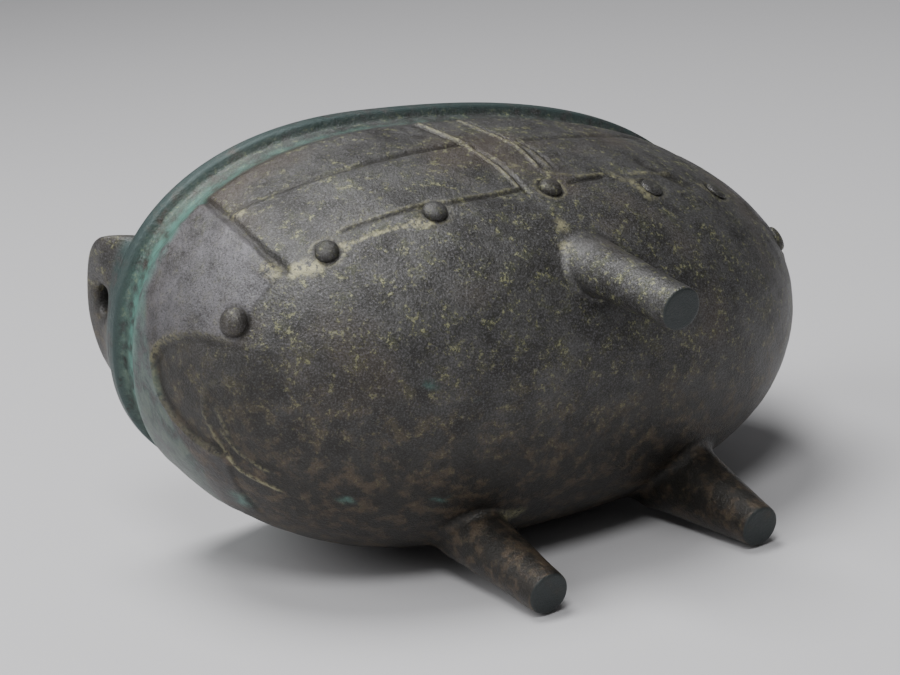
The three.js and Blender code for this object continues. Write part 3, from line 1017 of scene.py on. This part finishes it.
def metal_colour(n, noise, plate):
    """Dark bronze with brown and olive clouds, pale lilac end plates that are partly a painted sheen,
    specks and grit.
    """
    cloud, blotch, grit = noise["cloud"], noise["blotch"], noise["grit"]
    colour = n.mix(n.ramp(cloud, 0.28, 0.74), DARK, GREY)
    colour = n.mix(n.math("MULTIPLY", n.ramp(blotch, 0.52, 0.66), 0.55), colour, OLIVE)
    colour = n.mix(n.math("MULTIPLY", n.ramp(noise["broad"], 0.50, 0.68), 0.55), colour, BROWN)
    # Pale lilac on the end plates: partly their own patina, partly a painted sheen.
    colour = n.mix(n.math("MULTIPLY", plate, n.ramp(cloud, 0.15, 0.80)), colour, LILAC)
    off_plate = n.math("SUBTRACT", 1.0, n.math("MULTIPLY", plate, 0.8))
    patches = n.math("MULTIPLY", n.ramp(blotch, 0.44, 0.60), off_plate)
    specks = n.math("MULTIPLY", n.ramp(noise["spatter"], 0.545, 0.60), patches)
    colour = n.mix(n.math("MULTIPLY", specks, 0.85), colour, SPECK)
    colour = n.mix(n.math("MULTIPLY", n.ramp(grit, 0.50, 0.66), 0.55), colour, LILAC)
    return n.mix(n.math("MULTIPLY", n.ramp(grit, 0.50, 0.34), 0.6), colour, DARK_GRIT_AND_SHADE)


def corroded_colour(n, noise, place, colour, masks):
    """Painted shade on the side the vessel lies on, the green, the lip's teal, soil, painted shade in
    grooves, creases and the arch with a darker tone on the studs, and worn tips, laid over the metal.
    """
    cloud, blotch = noise["cloud"], noise["blotch"]
    axes = n.add("ShaderNodeSeparateXYZ")
    n.link(place, axes.inputs[0])
    _, y, z = axes.outputs
    # Painted shade, growing towards +y, the side the vessel lies on.
    painted_side_shade = n.math("MULTIPLY", n.ramp(y, SIDE_SHADE_FROM * MM, SIDE_SHADE_FULL * MM), SIDE_SHADE_STRENGTH)
    colour = n.mix(painted_side_shade, colour, n.mix(n.ramp(blotch, 0.45, 0.65), DARK_GRIT_AND_SHADE, BROWN))
    colour = n.mix(n.math("MULTIPLY", masks["green"], n.ramp(blotch, 0.30, 0.62)), colour, TURQUOISE)
    edge = n.math("MULTIPLY", n.ramp(z, LIP_TEAL_FROM * MM, LIP_TEAL_FULL * MM),
                  n.ramp(z, LIP_TEAL_GONE * MM, LIP_TEAL_KEPT * MM))
    colour = n.mix(n.math("MULTIPLY", edge, n.ramp(blotch, 0.30, 0.55)), colour, TEAL)
    soil = n.math("MULTIPLY", masks["soil"], n.ramp(noise["spatter"], 0.40, 0.54))
    colour = n.mix(soil, colour, SOIL)
    # Painted shade in grooves, creases and the arch, and the studs' darker tone.
    colour = n.mix(n.math("MULTIPLY", masks["painted_shade_and_dark_tone"], 0.85), colour, DARK_GRIT_AND_SHADE)
    return n.mix(n.math("MULTIPLY", masks["tip"], n.ramp(cloud, 0.22, 0.5)), colour, TIP_GREY)


def patina_bump(n, noise):
    """Fine pitting of the surface."""
    bump = n.add("ShaderNodeBump", Strength=0.8, Distance=0.0005)
    height = n.math("ADD", n.math("MULTIPLY", noise["grain"], 0.5), n.math("MULTIPLY", noise["grit"], 0.35))
    height = n.math("ADD", height, n.math("MULTIPLY", noise["blotch"], 0.5))
    n.link(height, bump.inputs["Height"])
    return bump.outputs["Normal"]


def bronze_patina():
    """Dark patinated bronze with soil in its creases."""
    material = bpy.data.materials.new("dark patinated bronze")
    material.use_nodes = True
    material.node_tree.nodes.clear()
    n = Nodes(material.node_tree)
    place = n.add("ShaderNodeTexCoord").outputs["Object"]
    masks = {name: n.add("ShaderNodeAttribute", attribute_name=name).outputs["Fac"] for name in MASKS}
    noise = patina_noises(n, place)
    colour = corroded_colour(n, noise, place, metal_colour(n, noise, masks["plate"]), masks)
    rough = n.add("ShaderNodeMapRange")
    rough.inputs["To Min"].default_value = 0.29
    rough.inputs["To Max"].default_value = 0.52
    n.link(noise["blotch"], rough.inputs["Value"])
    shader = n.add("ShaderNodeBsdfPrincipled", Metallic=0.4)
    n.link(colour, shader.inputs["Base Color"])
    n.link(rough.outputs["Result"], shader.inputs["Roughness"])
    n.link(patina_bump(n, noise), shader.inputs["Normal"])
    out = n.add("ShaderNodeOutputMaterial")
    n.link(shader.outputs[0], out.inputs["Surface"])
    return material


# ==========================================================================
# Table, light and camera
# ==========================================================================
TABLE_COLOUR = (0.575, 0.572, 0.585, 1.0)
TABLE_HALF = 3.0
WORLD_GREY = 0.48
WORLD_STRENGTH = 0.32
LIGHTS_AIM = Vector((0, 0, 0.05))
# Softboxes: where they stand, as parts of the table's up, the camera's right and away from it.
LIGHTS = [
    dict(name="over the table", up=1.0, right=-0.25, away=0.15, distance=1.0, size=0.55, power=10.0),
    dict(name="at the left", up=0.7, right=-1.0, away=-0.35, distance=1.1, size=0.8, power=6.0),
    dict(name="near the camera", up=1.1, right=-0.1, away=-0.9, distance=1.0, size=0.35, power=5.0),
]


def plane_facing(up):
    """Turn whose Z is up."""
    return up.to_track_quat("Z", "Y").to_matrix().to_4x4()


def make_camera():
    data = bpy.data.cameras.new("camera")
    data.sensor_width, data.lens = SENSOR, LENS
    data.clip_start, data.clip_end = 0.01, 50.0
    camera = bpy.data.objects.new("camera", data)
    right = CAMERA_FORWARD.cross(CAMERA_UP).normalized()
    up = right.cross(CAMERA_FORWARD).normalized()
    turn = Matrix((right, up, -CAMERA_FORWARD.normalized())).transposed().to_4x4()
    camera.matrix_world = Matrix.Translation(CAMERA_AT) @ turn
    bpy.context.scene.collection.objects.link(camera)
    bpy.context.scene.camera = camera


def table_material():
    """Plain pale table, clear from below."""
    material = bpy.data.materials.new("pale table")
    material.use_nodes = True
    material.node_tree.nodes.clear()
    n = Nodes(material.node_tree)
    shader = n.add("ShaderNodeBsdfPrincipled", Roughness=0.75)
    shader.inputs["Base Color"].default_value = TABLE_COLOUR
    clear = n.add("ShaderNodeBsdfTransparent")
    choose = n.add("ShaderNodeMixShader")
    n.link(n.add("ShaderNodeNewGeometry").outputs["Backfacing"], choose.inputs[0])
    n.link(shader.outputs[0], choose.inputs[1])
    n.link(clear.outputs[0], choose.inputs[2])
    out = n.add("ShaderNodeOutputMaterial")
    n.link(choose.outputs[0], out.inputs["Surface"])
    return material


def make_table():
    turn = Matrix.Translation(TABLE_POINT) @ plane_facing(TABLE_UP)
    signs = ((-1, -1), (1, -1), (1, 1), (-1, 1))
    corners = [turn @ Vector((sx * TABLE_HALF, sy * TABLE_HALF, 0)) for sx, sy in signs]
    mesh = bpy.data.meshes.new("table")
    mesh.from_pydata(corners, [], [(0, 1, 2, 3)])
    mesh.materials.append(table_material())
    table = bpy.data.objects.new("table", mesh)
    bpy.context.scene.collection.objects.link(table)


def make_light(name, toward, distance, size, power):
    data = bpy.data.lights.new(name, "AREA")
    data.shape, data.size = "DISK", size
    data.energy = power
    light = bpy.data.objects.new(name, data)
    light.location = LIGHTS_AIM + toward.normalized() * distance
    light.rotation_mode = "QUATERNION"
    light.rotation_quaternion = (-toward).to_track_quat("-Z", "Y")
    bpy.context.scene.collection.objects.link(light)


def make_lights():
    world = bpy.data.worlds.new("studio")
    world.use_nodes = True
    sky = world.node_tree.nodes["Background"]
    sky.inputs["Color"].default_value = (WORLD_GREY, WORLD_GREY, WORLD_GREY * 1.02, 1.0)
    sky.inputs["Strength"].default_value = WORLD_STRENGTH
    bpy.context.scene.world = world
    right = CAMERA_FORWARD.cross(CAMERA_UP).normalized()
    away = CAMERA_FORWARD - TABLE_UP * CAMERA_FORWARD.dot(TABLE_UP)
    for box in LIGHTS:
        toward = TABLE_UP * box["up"] + right * box["right"] + away * box["away"]
        make_light("softbox " + box["name"], toward, box["distance"], box["size"], box["power"])


make_camera()
make_table()
make_lights()

patina = bronze_patina()
casting = Casting()
add_bowl(casting)
for number, leg in enumerate(LEGS):
    add_leg(casting, leg, 40 + number)
for ear in EARS:
    add_ear(casting, ear)
add_studs(casting, patina)
vessel = casting.to_object("vessel_skin", patina)
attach(vessel, "root")
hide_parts("ding_vessel")
